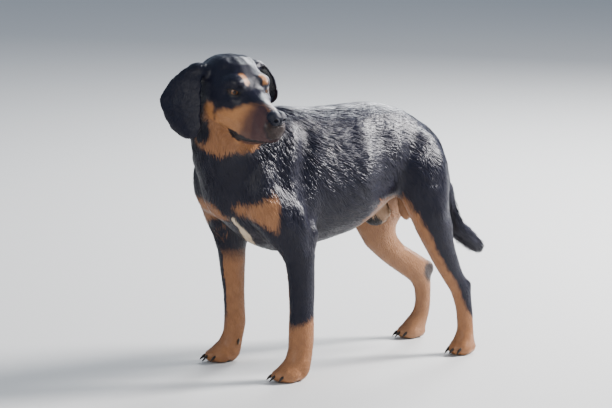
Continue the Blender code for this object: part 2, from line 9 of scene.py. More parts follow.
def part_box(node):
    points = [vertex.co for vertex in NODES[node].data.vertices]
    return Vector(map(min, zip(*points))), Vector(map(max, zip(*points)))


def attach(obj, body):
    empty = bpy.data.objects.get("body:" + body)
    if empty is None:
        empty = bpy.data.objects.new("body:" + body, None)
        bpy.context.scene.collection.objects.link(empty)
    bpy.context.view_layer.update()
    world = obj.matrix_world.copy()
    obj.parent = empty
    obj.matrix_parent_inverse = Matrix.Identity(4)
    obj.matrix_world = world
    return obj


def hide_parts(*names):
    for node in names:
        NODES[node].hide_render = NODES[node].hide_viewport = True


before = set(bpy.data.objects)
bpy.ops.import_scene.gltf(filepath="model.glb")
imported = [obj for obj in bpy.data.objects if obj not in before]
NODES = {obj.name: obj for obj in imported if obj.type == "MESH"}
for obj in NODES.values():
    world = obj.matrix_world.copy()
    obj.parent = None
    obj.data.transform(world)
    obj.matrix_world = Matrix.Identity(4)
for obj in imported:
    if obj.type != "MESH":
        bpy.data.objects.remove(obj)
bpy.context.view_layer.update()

RNG = np.random.default_rng(7)

# ---- how the head is carried ----
HEAD_YAW = math.radians(92.2)
HEAD_PITCH = math.radians(4.7)
HEAD_ROLL = math.radians(-2.1)
EYE_RADIUS = 0.0112
EYE_OUT = np.array((0.0335, -0.0005, -0.0018))

# how far the body's own frame stands from the middle of the whole
BODY_AT = np.array([0.0, 0.00324, 0.0])

SIDES = ("left", "right")
FLESH = ["chest", "hindquarters", "neck", "head"]
FLESH += [f"{part}_{side}" for part in ("ear", "forearm", "forepaw", "gaskin", "hindfoot") for side in SIDES]
FLESH += ["tail", "tail_end"]
TRUNK = ("chest", "hindquarters")

SKIN_VOXEL = 0.004
CLAW_VOXEL = 0.0007
DOUBLED = 0.00001
COAT_DEPTH = 0.001
# how far the skin may be drawn in or out after it is evened
MOST_IN = 0.003
MOST_OUT = 0.01
# depth at which the search for the surface starts, in thick and thin places, and its reach
START_IN = 0.004
START_IN_THIN = 0.0016
LOOK_OUT = 0.022
UNDER_SKIN = ["eye_left", "eye_right", "nose"]


# ---- small tools ----
def deselect():
    for obj in bpy.context.selected_objects:
        obj.select_set(False)


def only(obj):
    deselect()
    obj.select_set(True)
    bpy.context.view_layer.objects.active = obj


def apply(obj, kind, **settings):
    """Adds a modifier and applies it."""
    only(obj)
    modifier = obj.modifiers.new(kind.lower(), kind)
    for key, value in settings.items():
        setattr(modifier, key, value)
    bpy.ops.object.modifier_apply(modifier=modifier.name)


def edit_all(obj, operation, **settings):
    """Runs one edit operation on the whole mesh."""
    only(obj)
    bpy.ops.object.mode_set(mode="EDIT")
    bpy.ops.mesh.select_all(action="SELECT")
    operation(**settings)
    bpy.ops.object.mode_set(mode="OBJECT")


def middle(name):
    low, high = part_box(name)
    return (np.array(low) + np.array(high)) / 2


def gather(items, name, width, kind=np.float32):
    """One value or vector of every item, as rows."""
    flat = np.empty(len(items) * width, kind)
    items.foreach_get(name, flat)
    return flat.reshape(-1, width)


def give(items, name, values, kind=np.float32):
    items.foreach_set(name, np.ascontiguousarray(values, kind).ravel())


def places(obj):
    return gather(obj.data.vertices, "co", 3).astype(float)


def put(obj, points):
    give(obj.data.vertices, "co", points)
    obj.data.update()


def normals_of(obj):
    return gather(obj.data.vertex_normals, "vector", 3).astype(float)


def edges_of(obj):
    return gather(obj.data.edges, "vertices", 2, np.int32)


def unit(vectors):
    return vectors / np.maximum(np.linalg.norm(vectors, axis=-1, keepdims=True), 1e-9)


def blur(values, edges, steps):
    """Evens a value or vector out over the mesh, by each vertex's neighbours."""
    values = np.array(values, float)
    flat = values.reshape(len(values), -1)
    count = np.bincount(edges.ravel(), minlength=len(flat))[:, None] + 1.0
    for _ in range(steps):
        total = flat.copy()
        for column in range(flat.shape[1]):
            for here, there in (edges.T, edges.T[::-1]):
                total[:, column] += np.bincount(here, flat[there, column], len(flat))
        flat = total / count
    return flat.reshape(values.shape)


def step(value, low, high):
    """Zero below low, one above high, smooth between."""
    t = np.clip((value - low) / (high - low), 0.0, 1.0)
    return t * t * (3 - 2 * t)


def hump(distance, width):
    return np.exp(-(distance / width) ** 2)


def to_line(points, line):
    """Distance from each point to a broken line."""
    best = np.full(len(points), 1e9)
    line = np.array(line, float)
    for a, b in zip(line[:-1], line[1:]):
        along = b - a
        t = np.clip((points - a) @ along / (along @ along), 0, 1)
        best = np.minimum(best, np.linalg.norm(points - (a + t[:, None] * along), axis=1))
    return best


def rows(*columns):
    """A vector for each point, from columns and plain numbers."""
    return np.stack(np.broadcast_arrays(*columns), axis=1)


def from_point(points, centre, stretch=(1.0, 1.0, 1.0)):
    """Distance from each point to a centre, each direction divided by its own stretch."""
    return np.linalg.norm((points - centre) / stretch, axis=1)


def read_off(value, pairs):
    """The second of each pair at a value of the first, straight between the pairs."""
    first, second = zip(*sorted(pairs))
    return np.interp(value, first, second)


def mirrored(place):
    """The same points with all of them on the left side."""
    folded = place.copy()
    folded[:, 0] = np.abs(folded[:, 0])
    return folded


def ripple(points, size, seed=0):
    """A smooth wandering value between about -1 and 1."""
    turn = np.random.default_rng(seed)
    total = np.zeros(len(points))
    for _ in range(5):
        axis = unit(turn.normal(size=3))
        total += np.sin(points @ axis * (2 * math.pi / size) * turn.uniform(0.7, 1.4) + turn.uniform(0, 6.3))
    return total / 2.2


# ---- the head's own frame: across to its left, forward, up ----
def head_axes():
    forward = Vector((math.sin(HEAD_YAW), -math.cos(HEAD_YAW), 0.0))
    left = Vector((math.cos(HEAD_YAW), math.sin(HEAD_YAW), 0.0))
    up = Vector((0.0, 0.0, 1.0))
    ahead = forward * math.cos(HEAD_PITCH) - up * math.sin(HEAD_PITCH)
    crown = forward * math.sin(HEAD_PITCH) + up * math.cos(HEAD_PITCH)
    across = left * math.cos(HEAD_ROLL) + crown * math.sin(HEAD_ROLL)
    upright = crown * math.cos(HEAD_ROLL) - left * math.sin(HEAD_ROLL)
    return np.array([across, ahead, upright])


AXES = head_axes()
HEAD_AT = (middle("eye_left") + middle("eye_right")) / 2 - EYE_OUT * (0, 1, 1) @ AXES


def in_head(points):
    return (np.asarray(points) - HEAD_AT) @ AXES.T


def from_head(points):
    return np.asarray(points) @ AXES + HEAD_AT


NOSE_AT = in_head(middle("nose"))


# ---- skin ----
def flesh_tree():
    """A search tree over the flesh nodes, and the node that each triangle belongs to."""
    points, faces, owner = [], [], []
    start = 0
    for index, name in enumerate(FLESH):
        mesh = NODES[name].data
        mesh.calc_loop_triangles()
        points.extend(vertex.co[:] for vertex in mesh.vertices)
        for triangle in mesh.loop_triangles:
            faces.append([i + start for i in triangle.vertices])
            owner.append(index)
        start += len(mesh.vertices)
    return BVHTree.FromPolygons(points, faces, all_triangles=True), np.array(owner)


TREE, OWNER = flesh_tree()


def labels(points):
    return np.array([OWNER[TREE.find_nearest(point)[2]] for point in points])


def is_in(label, *starts):
    wanted = [i for i, name in enumerate(FLESH) if name.startswith(starts)]
    return np.isin(label, wanted)


def smooth_where(obj, mask, steps):
    group = obj.vertex_groups.new(name="smooth")
    group.add(np.flatnonzero(mask).tolist(), 1.0, "REPLACE")
    apply(obj, "SMOOTH", factor=0.5, iterations=steps, vertex_group="smooth")
    obj.vertex_groups.remove(obj.vertex_groups["smooth"])


def finer_where(obj, near):
    """Divides the faces whose middles lie where near(points) is true."""
    only(obj)
    chosen = near(gather(obj.data.polygons, "center", 3).astype(float))
    bpy.ops.object.mode_set(mode="EDIT")
    bpy.ops.mesh.select_mode(type="FACE")
    bpy.ops.mesh.select_all(action="DESELECT")
    bpy.ops.object.mode_set(mode="OBJECT")
    obj.data.polygons.foreach_set("select", chosen)
    bpy.ops.object.mode_set(mode="EDIT")
    bpy.ops.mesh.subdivide(number_cuts=1, smoothness=0.0)
    bpy.ops.object.mode_set(mode="OBJECT")


def merged_copy(names, name, voxel):
    """One closed skin over copies of the named solids."""
    deselect()
    copies = []
    for node_name in names:
        copy = NODES[node_name].copy()
        copy.data = NODES[node_name].data.copy()
        copy.parent = None
        bpy.context.scene.collection.objects.link(copy)
        copy.data.materials.clear()
        copy.select_set(True)
        copies.append(copy)
    bpy.context.view_layer.objects.active = copies[0]
    bpy.ops.object.join()
    made = bpy.context.object
    made.name = name
    edit_all(made, bpy.ops.mesh.remove_doubles, threshold=DOUBLED)
    for key in list(made.keys()):
        del made[key]
    apply(made, "REMESH", mode="VOXEL", voxel_size=voxel)
    return made


def grow_back(skin):
    """Brings the evened skin out again to the solids' surface, less the coat's depth."""
    points = places(skin)
    normal = normals_of(skin)
    edges = edges_of(skin)
    label = labels(points)
    thin = is_in(label, "ear", "forepaw", "hindfoot", "tail_end")
    inward = np.where(thin, START_IN_THIN, START_IN)
    offset = np.zeros(len(points))
    for index, start in enumerate(points - normal * inward[:, None]):
        heading = Vector(normal[index])
        at, facing, _, reach = TREE.ray_cast(start, heading, LOOK_OUT)
        if at is not None and facing.dot(heading) > 0.3:
            offset[index] = reach - inward[index] - COAT_DEPTH
    offset = np.clip(offset, -MOST_IN, MOST_OUT)
    place = mirrored(in_head(points))
    offset *= step(from_point(place, EYE_OUT), 0.016, 0.022)
    evened = blur(offset, edges, 2)
    for steps, names in ((9, (*TRUNK, "neck")), (26, ("head",))):
        evened = np.where(is_in(label, *names), blur(offset, edges, steps), evened)
    put(skin, points + normal * blur(evened, edges, 2)[:, None])


# ---- shaping the skin ----
def settle_skin(skin):
    """Evens out the flats of the solids, most on the trunk and least on the face and feet."""
    label = labels(places(skin))
    for steps, names in (
        (34, (*TRUNK, "neck")), (12, ("forearm", "gaskin", "tail")),
        (4, ("head", "ear", "forepaw", "hindfoot")),
    ):
        smooth_where(skin, is_in(label, *names), steps)
    smooth_where(skin, np.ones(len(label), bool), 2)


def in_box(points, back, low, side, *names):
    """Points of the named nodes in front of, above and between limits of the head's frame."""
    place = mirrored(in_head(points))
    boxed = (place[:, 1] > back) & (place[:, 2] > low) & (place[:, 0] < side)
    return boxed & is_in(labels(points), *names)


def near_head(points):
    return in_box(points, -0.125, -0.125, 0.14, "head", "ear")


def near_face(points):
    return in_box(points, -0.04, -0.1, 0.07, "head")


def near_eyes(points):
    return from_point(mirrored(in_head(points)), EYE_OUT) < 0.021


def near_brow(points):
    beside = from_point(mirrored(in_head(points)), (0.038, 0.0, 0.004), (1.0, 1.5, 1.15))
    return (beside < 0.03) & is_in(labels(points), "head")


FOOT_TOP = 0.045


def near_feet(points):
    return points[:, 2] < FOOT_TOP


EYE_GAZE = np.array((0.36, 0.93, 0.05))
LID_AXIS = np.array((0.66, 0.74, 0.05))
LID_ACROSS = math.radians(70)
LID_UP = math.radians(24)
LID_DOWN = math.radians(21)
LID_REACH = 0.0235


def eye_angles(place, side):
    """Angles across and up from the middle of the lids, and the distance, of points in the head's frame."""
    centre = EYE_OUT * (side, 1, 1)
    gaze = unit(LID_AXIS * (side, 1, 1))
    across = unit(np.cross(gaze, (0.0, 0.0, 1.0))) * side
    up = unit(np.cross(across, gaze)) * side
    heading = unit(place - centre)
    wide = np.arctan2(heading @ across, heading @ gaze)
    high = np.arctan2(heading @ up, np.hypot(heading @ gaze, heading @ across))
    return wide, high, from_point(place, centre), heading, centre


def lid_gap(wide, high):
    """Below one inside the opening between the lids, above one outside it."""
    tilt = 0.1 * wide
    reach = np.clip(1 - (wide / LID_ACROSS) ** 2, 0.0, 1.0) ** 0.75
    span = np.where(high > tilt, LID_UP, LID_DOWN) * reach
    outside = np.maximum(np.abs(wide) / LID_ACROSS, 1.0)
    return np.where(reach > 0.02, np.abs(high - tilt) / np.maximum(span, 1e-3), 9.0) * outside


def shape_eyes(place):
    """Lids drawn over both eyeballs, their creases, and the opening sunk behind the ball's front."""
    for side in (1, -1):
        wide, high, distance, heading, centre = eye_angles(place, side)
        gap = lid_gap(wide, high)
        front = step(np.cos(wide) * np.cos(high), 0.02, 0.42)
        lid = EYE_RADIUS + 0.0014 + 0.0006 * step(high, 0.0, 0.4)
        rise = step(np.hypot(wide / LID_ACROSS, (high - 0.1 * wide) / LID_UP), 1.0, 2.3)
        over = lid + np.maximum(distance - lid, 0.0) * (0.25 + 0.75 * rise)
        crease = np.hypot(wide / (LID_ACROSS * 1.45), (high - 0.12 * wide) / 0.98)
        over -= 0.001 * hump(crease - 1.0, 0.13) * step(high, 0.05, 0.3)
        over -= 0.0007 * hump(crease - 1.05, 0.15) * step(-high, 0.05, 0.3)
        target = np.where(gap < 1.0, EYE_RADIUS - 0.0022, over)
        blend = step(LID_REACH - distance, 0.0, 0.006) * np.where(gap < 1.0, 1.0, front)
        target = distance + (target - distance) * blend
        keep = (distance < LID_REACH) & (front > 0)
        place[keep] = centre + heading[keep] * target[keep][:, None]
    return place


MOUTH = [
    (0.034, -0.008, -0.072), (0.034, 0.003, -0.079), (0.032, 0.014, -0.086), (0.03, 0.0435, -0.086),
    (0.026, 0.066, -0.083), (0.02, 0.083, -0.082), (0.01, 0.1, -0.075), (0.0, 0.104, -0.072),
]


def shape_mouth(place, outward):
    """The slit of the mouth with a lip on each side of it."""
    folded = mirrored(place)
    distance = to_line(folded, MOUTH)
    above = folded[:, 2] - read_off(folded[:, 1], [point[1:] for point in MOUTH])
    push = -0.003 * hump(distance, 0.0016)
    push += 0.0012 * hump(distance - 0.005, 0.004) * (above > 0)
    push += 0.0006 * hump(distance - 0.004, 0.003) * (above < 0)
    return place + outward * push[:, None]


NOSE_SIZE = np.array([0.019, 0.0135, 0.0145])


def tuck_nose(place):
    """Draws the skin in behind the nose leather."""
    apart = (place - NOSE_AT) / NOSE_SIZE
    distance = np.linalg.norm(apart, axis=1)
    target = np.minimum(distance, 0.72 + 0.9 * np.maximum(distance - 1.0, 0.0))
    scale = np.where(distance < 1.25, target / np.maximum(distance, 1e-6), 1.0)
    return NOSE_AT + apart * scale[:, None] * NOSE_SIZE


TRUNK_MIDDLE = -0.012
# height and width of each ridge or groove of the trunk, and the line that it follows
TRUNK_FORMS = {
    "edge_of_shoulder": (0.004, 0.012, [
        (0.0368, -0.1256, 0.4671), (0.052, -0.1302, 0.4419), (0.0665, -0.1492, 0.3883),
        (0.0796, -0.1484, 0.3442), (0.0895, -0.1387, 0.3218), (0.0974, -0.1331, 0.288),
    ]),
    "behind_shoulder": (-0.007, 0.017, [
        (0.042, -0.096, 0.46), (0.06, -0.105, 0.425), (0.07, -0.12, 0.38), (0.078, -0.118, 0.34),
        (0.085, -0.108, 0.31),
    ]),
    "end_of_ribs": (0.003, 0.018, [
        (0.0432, 0.024, 0.4619), (0.0589, 0.03, 0.44), (0.0746, 0.025, 0.3961), (0.0786, 0.014, 0.36),
    ]),
    "flank": (-0.0065, 0.03, [(0.06, 0.064, 0.43), (0.065, 0.07, 0.395), (0.066, 0.064, 0.36)]),
    "front_of_haunch": (0.003, 0.018, [
        (0.05, 0.105, 0.45), (0.068, 0.115, 0.4), (0.078, 0.115, 0.35), (0.082, 0.108, 0.315),
    ]),
    "back_of_haunch": (0.003, 0.016, [
        (0.045, 0.175, 0.435), (0.0621, 0.1909, 0.4039), (0.0807, 0.1953, 0.3355), (0.086, 0.185, 0.29),
    ]),
    "behind_haunch": (-0.006, 0.014, [(0.07, 0.22, 0.37), (0.08, 0.223, 0.32), (0.083, 0.215, 0.28)]),
}


def shape_trunk(skin):
    """Muscle and bone under the coat: edge of the shoulder, end of the ribs, flank and haunch."""
    points = places(skin)
    outward = normals_of(skin)
    folded = points - BODY_AT
    folded[:, 0] = np.abs(points[:, 0] - TRUNK_MIDDLE) + TRUNK_MIDDLE
    push = np.zeros(len(points))
    for height, width, line in TRUNK_FORMS.values():
        push += height * hump(to_line(folded, line), width)
    rib = np.sin((folded[:, 1] + 0.75 * (folded[:, 2] - 0.4)) * 2 * math.pi / 0.027)
    ribs = from_point(folded, (0.075, -0.03, 0.375), (1.0, 1.0, 1.15))
    push += 0.0007 * rib * step(0.085 - ribs, 0.0, 0.05)
    label = labels(points)
    push *= is_in(label, *TRUNK, "gaskin", "forearm")
    put(skin, points + outward * blur(push, edges_of(skin), 4)[:, None])


FURROW = [(0.0, -0.05, 0.057), (0.0, -0.02, 0.044), (0.0, 0.01, 0.019), (0.0, 0.03, 0.004)]
BELOW_EYE = [(0.033, 0.012, -0.02), (0.028, 0.03, -0.026), (0.024, 0.055, -0.03)]


def shape_head(skin):
    """Furrow of the forehead, brow and cheek, mouth, lids, and the place of the nose leather."""
    points = places(skin)
    place = in_head(points)
    outward = normals_of(skin) @ AXES.T
    on_head = is_in(labels(points), "head")[:, None]
    folded = mirrored(place)
    brow = from_point(folded, (0.0195, 0.0055, 0.0235), (1.0, 1.1, 0.8))
    push = 0.0008 * hump(brow, 0.0085) - 0.0009 * hump(to_line(place, FURROW), 0.0085)
    push -= 0.0008 * hump(to_line(folded, BELOW_EYE), 0.006)
    moved = shape_mouth(place + outward * push[:, None], outward)
    moved = shape_eyes(tuck_nose(moved))
    put(skin, from_head(np.where(on_head, moved, place)))


# ---- markings: black with tan points, cream at the brisket and groin ----
CHEEK = [
    (-0.058, -0.04), (-0.05, -0.029), (-0.035, -0.0275), (-0.03, -0.038), (-0.0281, -0.0477),
    (-0.0194, -0.0395), (-0.0035, -0.0344), (0.0108, -0.0343), (0.02, -0.028), (0.0294, -0.0221),
    (0.0407, -0.0181), (0.06, -0.0178), (0.0737, -0.0215), (0.09, -0.034), (0.104, -0.055),
    (0.104, -0.074), (0.085, -0.095), (0.06, -0.105), (0.02, -0.12), (-0.02, -0.12), (-0.048, -0.1),
    (-0.056, -0.075),
]
THROAT_EDGE = [
    (0.0, -0.114), (0.016, -0.1195), (0.0279, -0.126), (0.0383, -0.133), (0.0466, -0.1281),
    (0.0521, -0.1224), (0.0558, -0.1157), (0.06, -0.108),
]
UNDER_EAR = [
    (-0.0472, -0.069), (-0.0432, -0.0857), (-0.0439, -0.0988), (-0.05, -0.1119), (-0.0636, -0.1146),
    (-0.072, -0.1074), (-0.072, -0.069),
]
LIP_EDGE = [
    (-0.01, -0.072), (0.001, -0.0732), (0.0219, -0.0763), (0.0463, -0.0788), (0.0632, -0.0799),
    (0.076, -0.0805), (0.087, -0.0795), (0.088, -0.0825), (0.069, -0.0862), (0.0565, -0.0867),
    (0.0446, -0.0859), (0.0141, -0.0906), (-0.0002, -0.0875), (-0.01, -0.0808),
]
BROW_RIGHT = [(-0.018, 0.001, 0.03), (-0.0155, 0.006, 0.025), (-0.013, 0.0105, 0.0185)]
BROW_LEFT = [(0.025, 0.005, 0.028), (0.027, 0.01, 0.022), (0.0275, 0.012, 0.0165)]
STREAK = [(0.0544, -0.0306, -0.033), (0.0542, -0.03, -0.0484), (0.0513, -0.029, -0.059)]
# outlines on an upright plane that faces the left shoulder: how far along it, and height
BREAST_PLANE = (0.551, 0.834)
BREAST_LEFT = [
    (-0.1946, 0.3229), (-0.183, 0.3301), (-0.1715, 0.3313), (-0.1599, 0.3319), (-0.1484, 0.3373),
    (-0.132, 0.3436), (-0.1114, 0.3496), (-0.1068, 0.3376), (-0.1072, 0.3131), (-0.1094, 0.2833),
    (-0.1217, 0.2866), (-0.1363, 0.2957), (-0.1487, 0.3039), (-0.1656, 0.3085), (-0.1823, 0.3114),
]
BREAST_RIGHT = [
    (-0.275, 0.333), (-0.2536, 0.329), (-0.2378, 0.3324), (-0.2262, 0.3241), (-0.2148, 0.3122),
    (-0.2021, 0.3041), (-0.2022, 0.3012), (-0.2125, 0.2984), (-0.2258, 0.2876), (-0.2376, 0.2843),
    (-0.2446, 0.2765), (-0.26, 0.288), (-0.28, 0.31),
]
BRISKET = [(0.005, -0.238, 0.302), (0.001, -0.218, 0.285), (-0.004, -0.202, 0.269), (-0.027, -0.175, 0.248)]
THIGH_LINE = [
    (0.318, 0.1232), (0.308, 0.129), (0.293, 0.136), (0.283, 0.143), (0.264, 0.153), (0.239, 0.168),
    (0.214, 0.179), (0.193, 0.193), (0.172, 0.206), (0.151, 0.224), (0.129, 0.237), (0.108, 0.245),
    (0.088, 0.253), (0.066, 0.272), (0.05, 0.3),
]
GROIN_ARCH = [
    (0.0277, 0.258), (0.037, 0.2793), (0.0497, 0.2968), (0.0622, 0.313), (0.0759, 0.3209), (0.1135, 0.3174),
    (0.1232, 0.3176), (0.1297, 0.308), (0.1357, 0.293),
]
SHEATH_TIP = (-0.0171, 0.0985, 0.257)
VENT = (-0.022, 0.322, 0.36)
FLECKED = (-0.1, -0.195, 0.257)
HOCK_POINT = (-0.097, 0.29, 0.131)
# share of the brown shade in the tan of body and legs
BODY_SHADE = 0.35
# front edge of the tan on the right foreleg, by height
RIGHT_FORE_LINE = [
    (0.0845, -0.2052), (0.1064, -0.2072), (0.151, -0.207), (0.1958, -0.2088), (0.2218, -0.2242),
]
# how much further back the right hind leg stands, by height
RIGHT_HIND = [(0.13, 0.024), (0.155, 0.01), (0.178, -0.006), (0.2, -0.018), (0.25, -0.012)]


def inside(flat, outline):
    """How far each point of a plane lies inside a closed outline, below zero outside it."""
    closed = np.array(outline + outline[:1])
    distance = to_line(flat, closed)
    within = np.zeros(len(flat), bool)
    for a, b in zip(closed[:-1], closed[1:]):
        crosses = (a[1] > flat[:, 1]) != (b[1] > flat[:, 1])
        rise = b[1] - a[1] if b[1] != a[1] else 1e-9
        within ^= crosses & (flat[:, 0] < a[0] + (flat[:, 1] - a[1]) / rise * (b[0] - a[0]))
    return np.where(within, distance, -distance)


def edge(amount, soft):
    return step(amount, -soft, soft)


def mark_head(place, on_head, on_neck):
    """Tan, shade and dark of the head, from places in its own frame."""
    folded = mirrored(place)
    cheek = edge(inside(folded[:, 1:], CHEEK), 0.006) * (on_head | on_neck)
    under = read_off(folded[:, 0], THROAT_EDGE)
    throat = edge(place[:, 2] - under, 0.003) * step(-place[:, 2], 0.06, 0.075)
    throat *= step(place[:, 1], -0.078, -0.066) * (on_head | on_neck)
    tan = np.maximum(cheek, throat)
    tan *= 1 - edge(inside(folded[:, 1:], UNDER_EAR), 0.0025) * (folded[:, 0] > 0.04)
    tan *= 1 - 0.8 * hump(to_line(folded, STREAK), 0.0026)
    spot = np.minimum(to_line(place, BROW_RIGHT), to_line(place, BROW_LEFT))
    tan = np.maximum(tan, edge(0.0064 - spot, 0.0022) * on_head)
    lip = edge(inside(folded[:, 1:], LIP_EDGE), 0.0014) * (folded[:, 0] > 0.004)
    dark = np.maximum(lip, hump(np.where(place[:, 1] < 0.12, to_line(folded, MOUTH), 1.0), 0.0018))
    for side in (1, -1):
        wide, high, distance = eye_angles(place, side)[:3]
        rim = edge(1.45 - lid_gap(wide, high), 0.15) * (distance < 0.017) * (np.abs(wide) < 1.4)
        dark = np.maximum(dark, rim)
    front = step(place[:, 1], 0.086, 0.098) * (place[:, 2] > -0.085)
    dark = np.maximum(dark, 0.8 * front) * on_head
    shade = 0.85 * step(place[:, 1] - 0.35 * (place[:, 2] + 0.05), 0.018, 0.052)
    shade += 0.35 * step(place[:, 1], 0.052, 0.078)
    return tan * (1 - dark), np.clip(shade, 0, 1) * on_head, dark


def mark_body(points, normal, label):
    """Tan, cream and dark of the body, from places in its own frame."""
    x, y, z = points.T
    flat = rows(points[:, :2] @ BREAST_PLANE, z)
    faced = normal[:, 0] * BREAST_PLANE[1] - normal[:, 1] * BREAST_PLANE[0]
    front = step(-y, 0.135, 0.15) * is_in(label, "chest", "neck")
    tan = np.maximum(
        edge(inside(flat, BREAST_LEFT), 0.005) * step(faced, 0.0, 0.2),
        edge(inside(flat, BREAST_RIGHT), 0.004) * step(faced, -0.35, 0.0),
    ) * front
    stripe = to_line(points, BRISKET)
    cream = edge(0.0045 + 0.006 * step(0.29 - z, 0.0, 0.03) - stripe, 0.0025) * step(-y, 0.14, 0.17)
    flecks = 0.35 * step(ripple(points, 0.008, 8), 0.3, 0.8)
    speckle = from_point(points, FLECKED, (1.2, 1.0, 1.0))
    tan = np.maximum(tan, flecks * step(0.022 - speckle, 0.0, 0.01))
    # forelegs: tan to the elbow inside, black down the outside
    fore_left = is_in(label, "forearm_left", "forepaw_left")
    top = 0.1 + 0.35 * (y + 0.158)
    top = top + (0.222 - top) * step(-normal[:, 0], 0.1, 0.45)
    tan = np.where(fore_left, edge(top - z, 0.007), tan)
    fore_right = is_in(label, "forearm_right", "forepaw_right")
    edge_u = read_off(z, RIGHT_FORE_LINE)
    inner = edge(flat[:, 0] - edge_u, 0.002) * step(faced, -0.1, 0.1)
    top = 0.085 + 0.125 * np.maximum(inner, step(normal[:, 0], 0.15, 0.4))
    tan = np.where(fore_right, edge(top - z, 0.02), tan)
    # hind legs
    haunch = is_in(label, "hindquarters")
    hind = haunch | is_in(label, "gaskin", "hindfoot")
    off_middle = np.abs(x - TRUNK_MIDDLE)
    line_y = read_off(z, THIGH_LINE) + read_off(z, RIGHT_HIND) * (x < TRUNK_MIDDLE)
    outer = np.where(x > TRUNK_MIDDLE, normal[:, 0], -normal[:, 0])
    ahead = edge(line_y - y, 0.004) * step(0.322 - z, 0.0, 0.008)
    inner = step(-outer, 0.05, 0.3) * step(0.318 - z, 0.0, 0.015)
    behind = step(normal[:, 1], 0.55, 0.85) * step(z, 0.075, 0.1) * (outer > -0.5)
    leg = np.maximum(ahead, inner * (1 - behind))
    leg = np.maximum(leg, step(0.07 - z, 0.0, 0.015))
    tan = np.where(hind, leg, tan)
    # groin and belly, under the arch between flank and thigh
    under = edge(read_off(y, GROIN_ARCH) - z, 0.004) * step(y, 0.02, 0.032)
    under *= step(0.17 - y, 0.0, 0.02) * step(-outer, -0.85, -0.6) * is_in(label, *TRUNK)
    under *= 1 - haunch * step(outer, 0.1, 0.4) * step(y, 0.118, 0.128)
    centre = step(0.044 - off_middle, 0.0, 0.01) * step(0.316 - z, 0.0, 0.008)
    centre *= step(y, 0.085, 0.095) * step(0.215 - y, 0.0, 0.02) * hind
    tan = np.maximum(tan, np.maximum(under, centre))
    cream = np.maximum(cream, 0.3 * under * step(0.045 - off_middle, 0.0, 0.02))
    pale = 0.06 * inner * hind
    # under the tail
    vent = from_point(points, VENT, (0.9, 1.0, 1.6))
    tan = np.maximum(tan, edge(0.026 - vent, 0.006) * haunch)
    tip = is_in(label, "tail_end") * step(0.165 - z, 0.0, 0.02)
    # black at the far hock, bare dark at the sheath
    hock = from_point(points, HOCK_POINT, (1.2, 0.95, 1.15))
    tan *= 1 - edge(0.0175 - hock, 0.0045) * (x < TRUNK_MIDDLE)
    sheath = from_point(points, SHEATH_TIP, (1.0, 1.25, 0.8))
    dark = edge(0.0165 - sheath, 0.003) * (off_middle < 0.03)
    return tan, np.maximum(cream, np.maximum(pale, 0.35 * tip)), dark


def markings(points, normal, label):
    """Tan, cream, brown shade and bare dark over the body, each from 0 to 1."""
    wander = rows(*(ripple(points, 0.011, seed) for seed in (3, 4, 5))) * 0.001
    moved = points + wander
    place = in_head(moved)
    on_head = is_in(label, "head")
    on_neck = is_in(label, "neck")
    tan_head, shade, dark = mark_head(place, on_head, on_neck)
    tan, cream, dark_body = mark_body(moved - BODY_AT, normal, label)
    tan = np.where(on_head, tan_head, np.maximum(tan, tan_head * on_neck))
    cream = np.where(on_head, 0.0, cream)
    shade = np.where(on_head, shade, BODY_SHADE)
    dark = np.where(on_head, dark, dark_body)
    return rows(tan, cream, shade * (tan > 0.3), dark)


def paint(obj, values):
    """Stores the markings on the mesh as one colour attribute of masks."""
    layer = obj.data.color_attributes.new("markings", "FLOAT_COLOR", "POINT")
    give(layer.data, "color", values)


# ---- finishes ----
BLACK = (0.0038, 0.0048, 0.014, 1)
BROWN_BLACK = (0.018, 0.012, 0.013, 1)
TAN = (0.47, 0.22, 0.086, 1)
TAN_DEEP = (0.24, 0.098, 0.036, 1)
CREAM = (0.66, 0.52, 0.36, 1)
MUZZLE_SHADE = (0.062, 0.03, 0.029, 1)
LEATHER = (0.012, 0.01, 0.011, 1)


def node(tree, kind, **settings):
    made = tree.nodes.new(kind)
    for key, value in settings.items():
        setattr(made, key, value)
    return made


def feed(tree, made, given):
    """Feeds inputs of a node, each by a socket or a plain value."""
    for key, value in given.items():
        if hasattr(value, "node"):
            tree.links.new(value, made.inputs[key])
        else:
            made.inputs[key].default_value = value
    return made


def mix_color(tree, factor, first, second):
    mixer = node(tree, "ShaderNodeMix", data_type="RGBA")
    return feed(tree, mixer, {0: factor, 6: first, 7: second}).outputs[2]


def sum_of(tree, kind, first, second):
    return feed(tree, node(tree, "ShaderNodeMath", operation=kind), {0: first, 1: second}).outputs[0]


def noise_at(tree, place, scale, detail=2.0):
    made = node(tree, "ShaderNodeTexNoise")
    return feed(tree, made, {"Vector": place, "Scale": scale, "Detail": detail}).outputs["Fac"]


def new_material(name):
    """A material with its tree and its shader."""
    material = bpy.data.materials.new(name)
    material.use_nodes = True
    return material, material.node_tree, material.node_tree.nodes["Principled BSDF"]


def relief(tree, shader, height, strength, distance):
    bump = node(tree, "ShaderNodeBump")
    feed(tree, bump, {"Height": height, "Strength": strength, "Distance": distance})
    feed(tree, shader, {"Normal": bump.outputs["Normal"]})


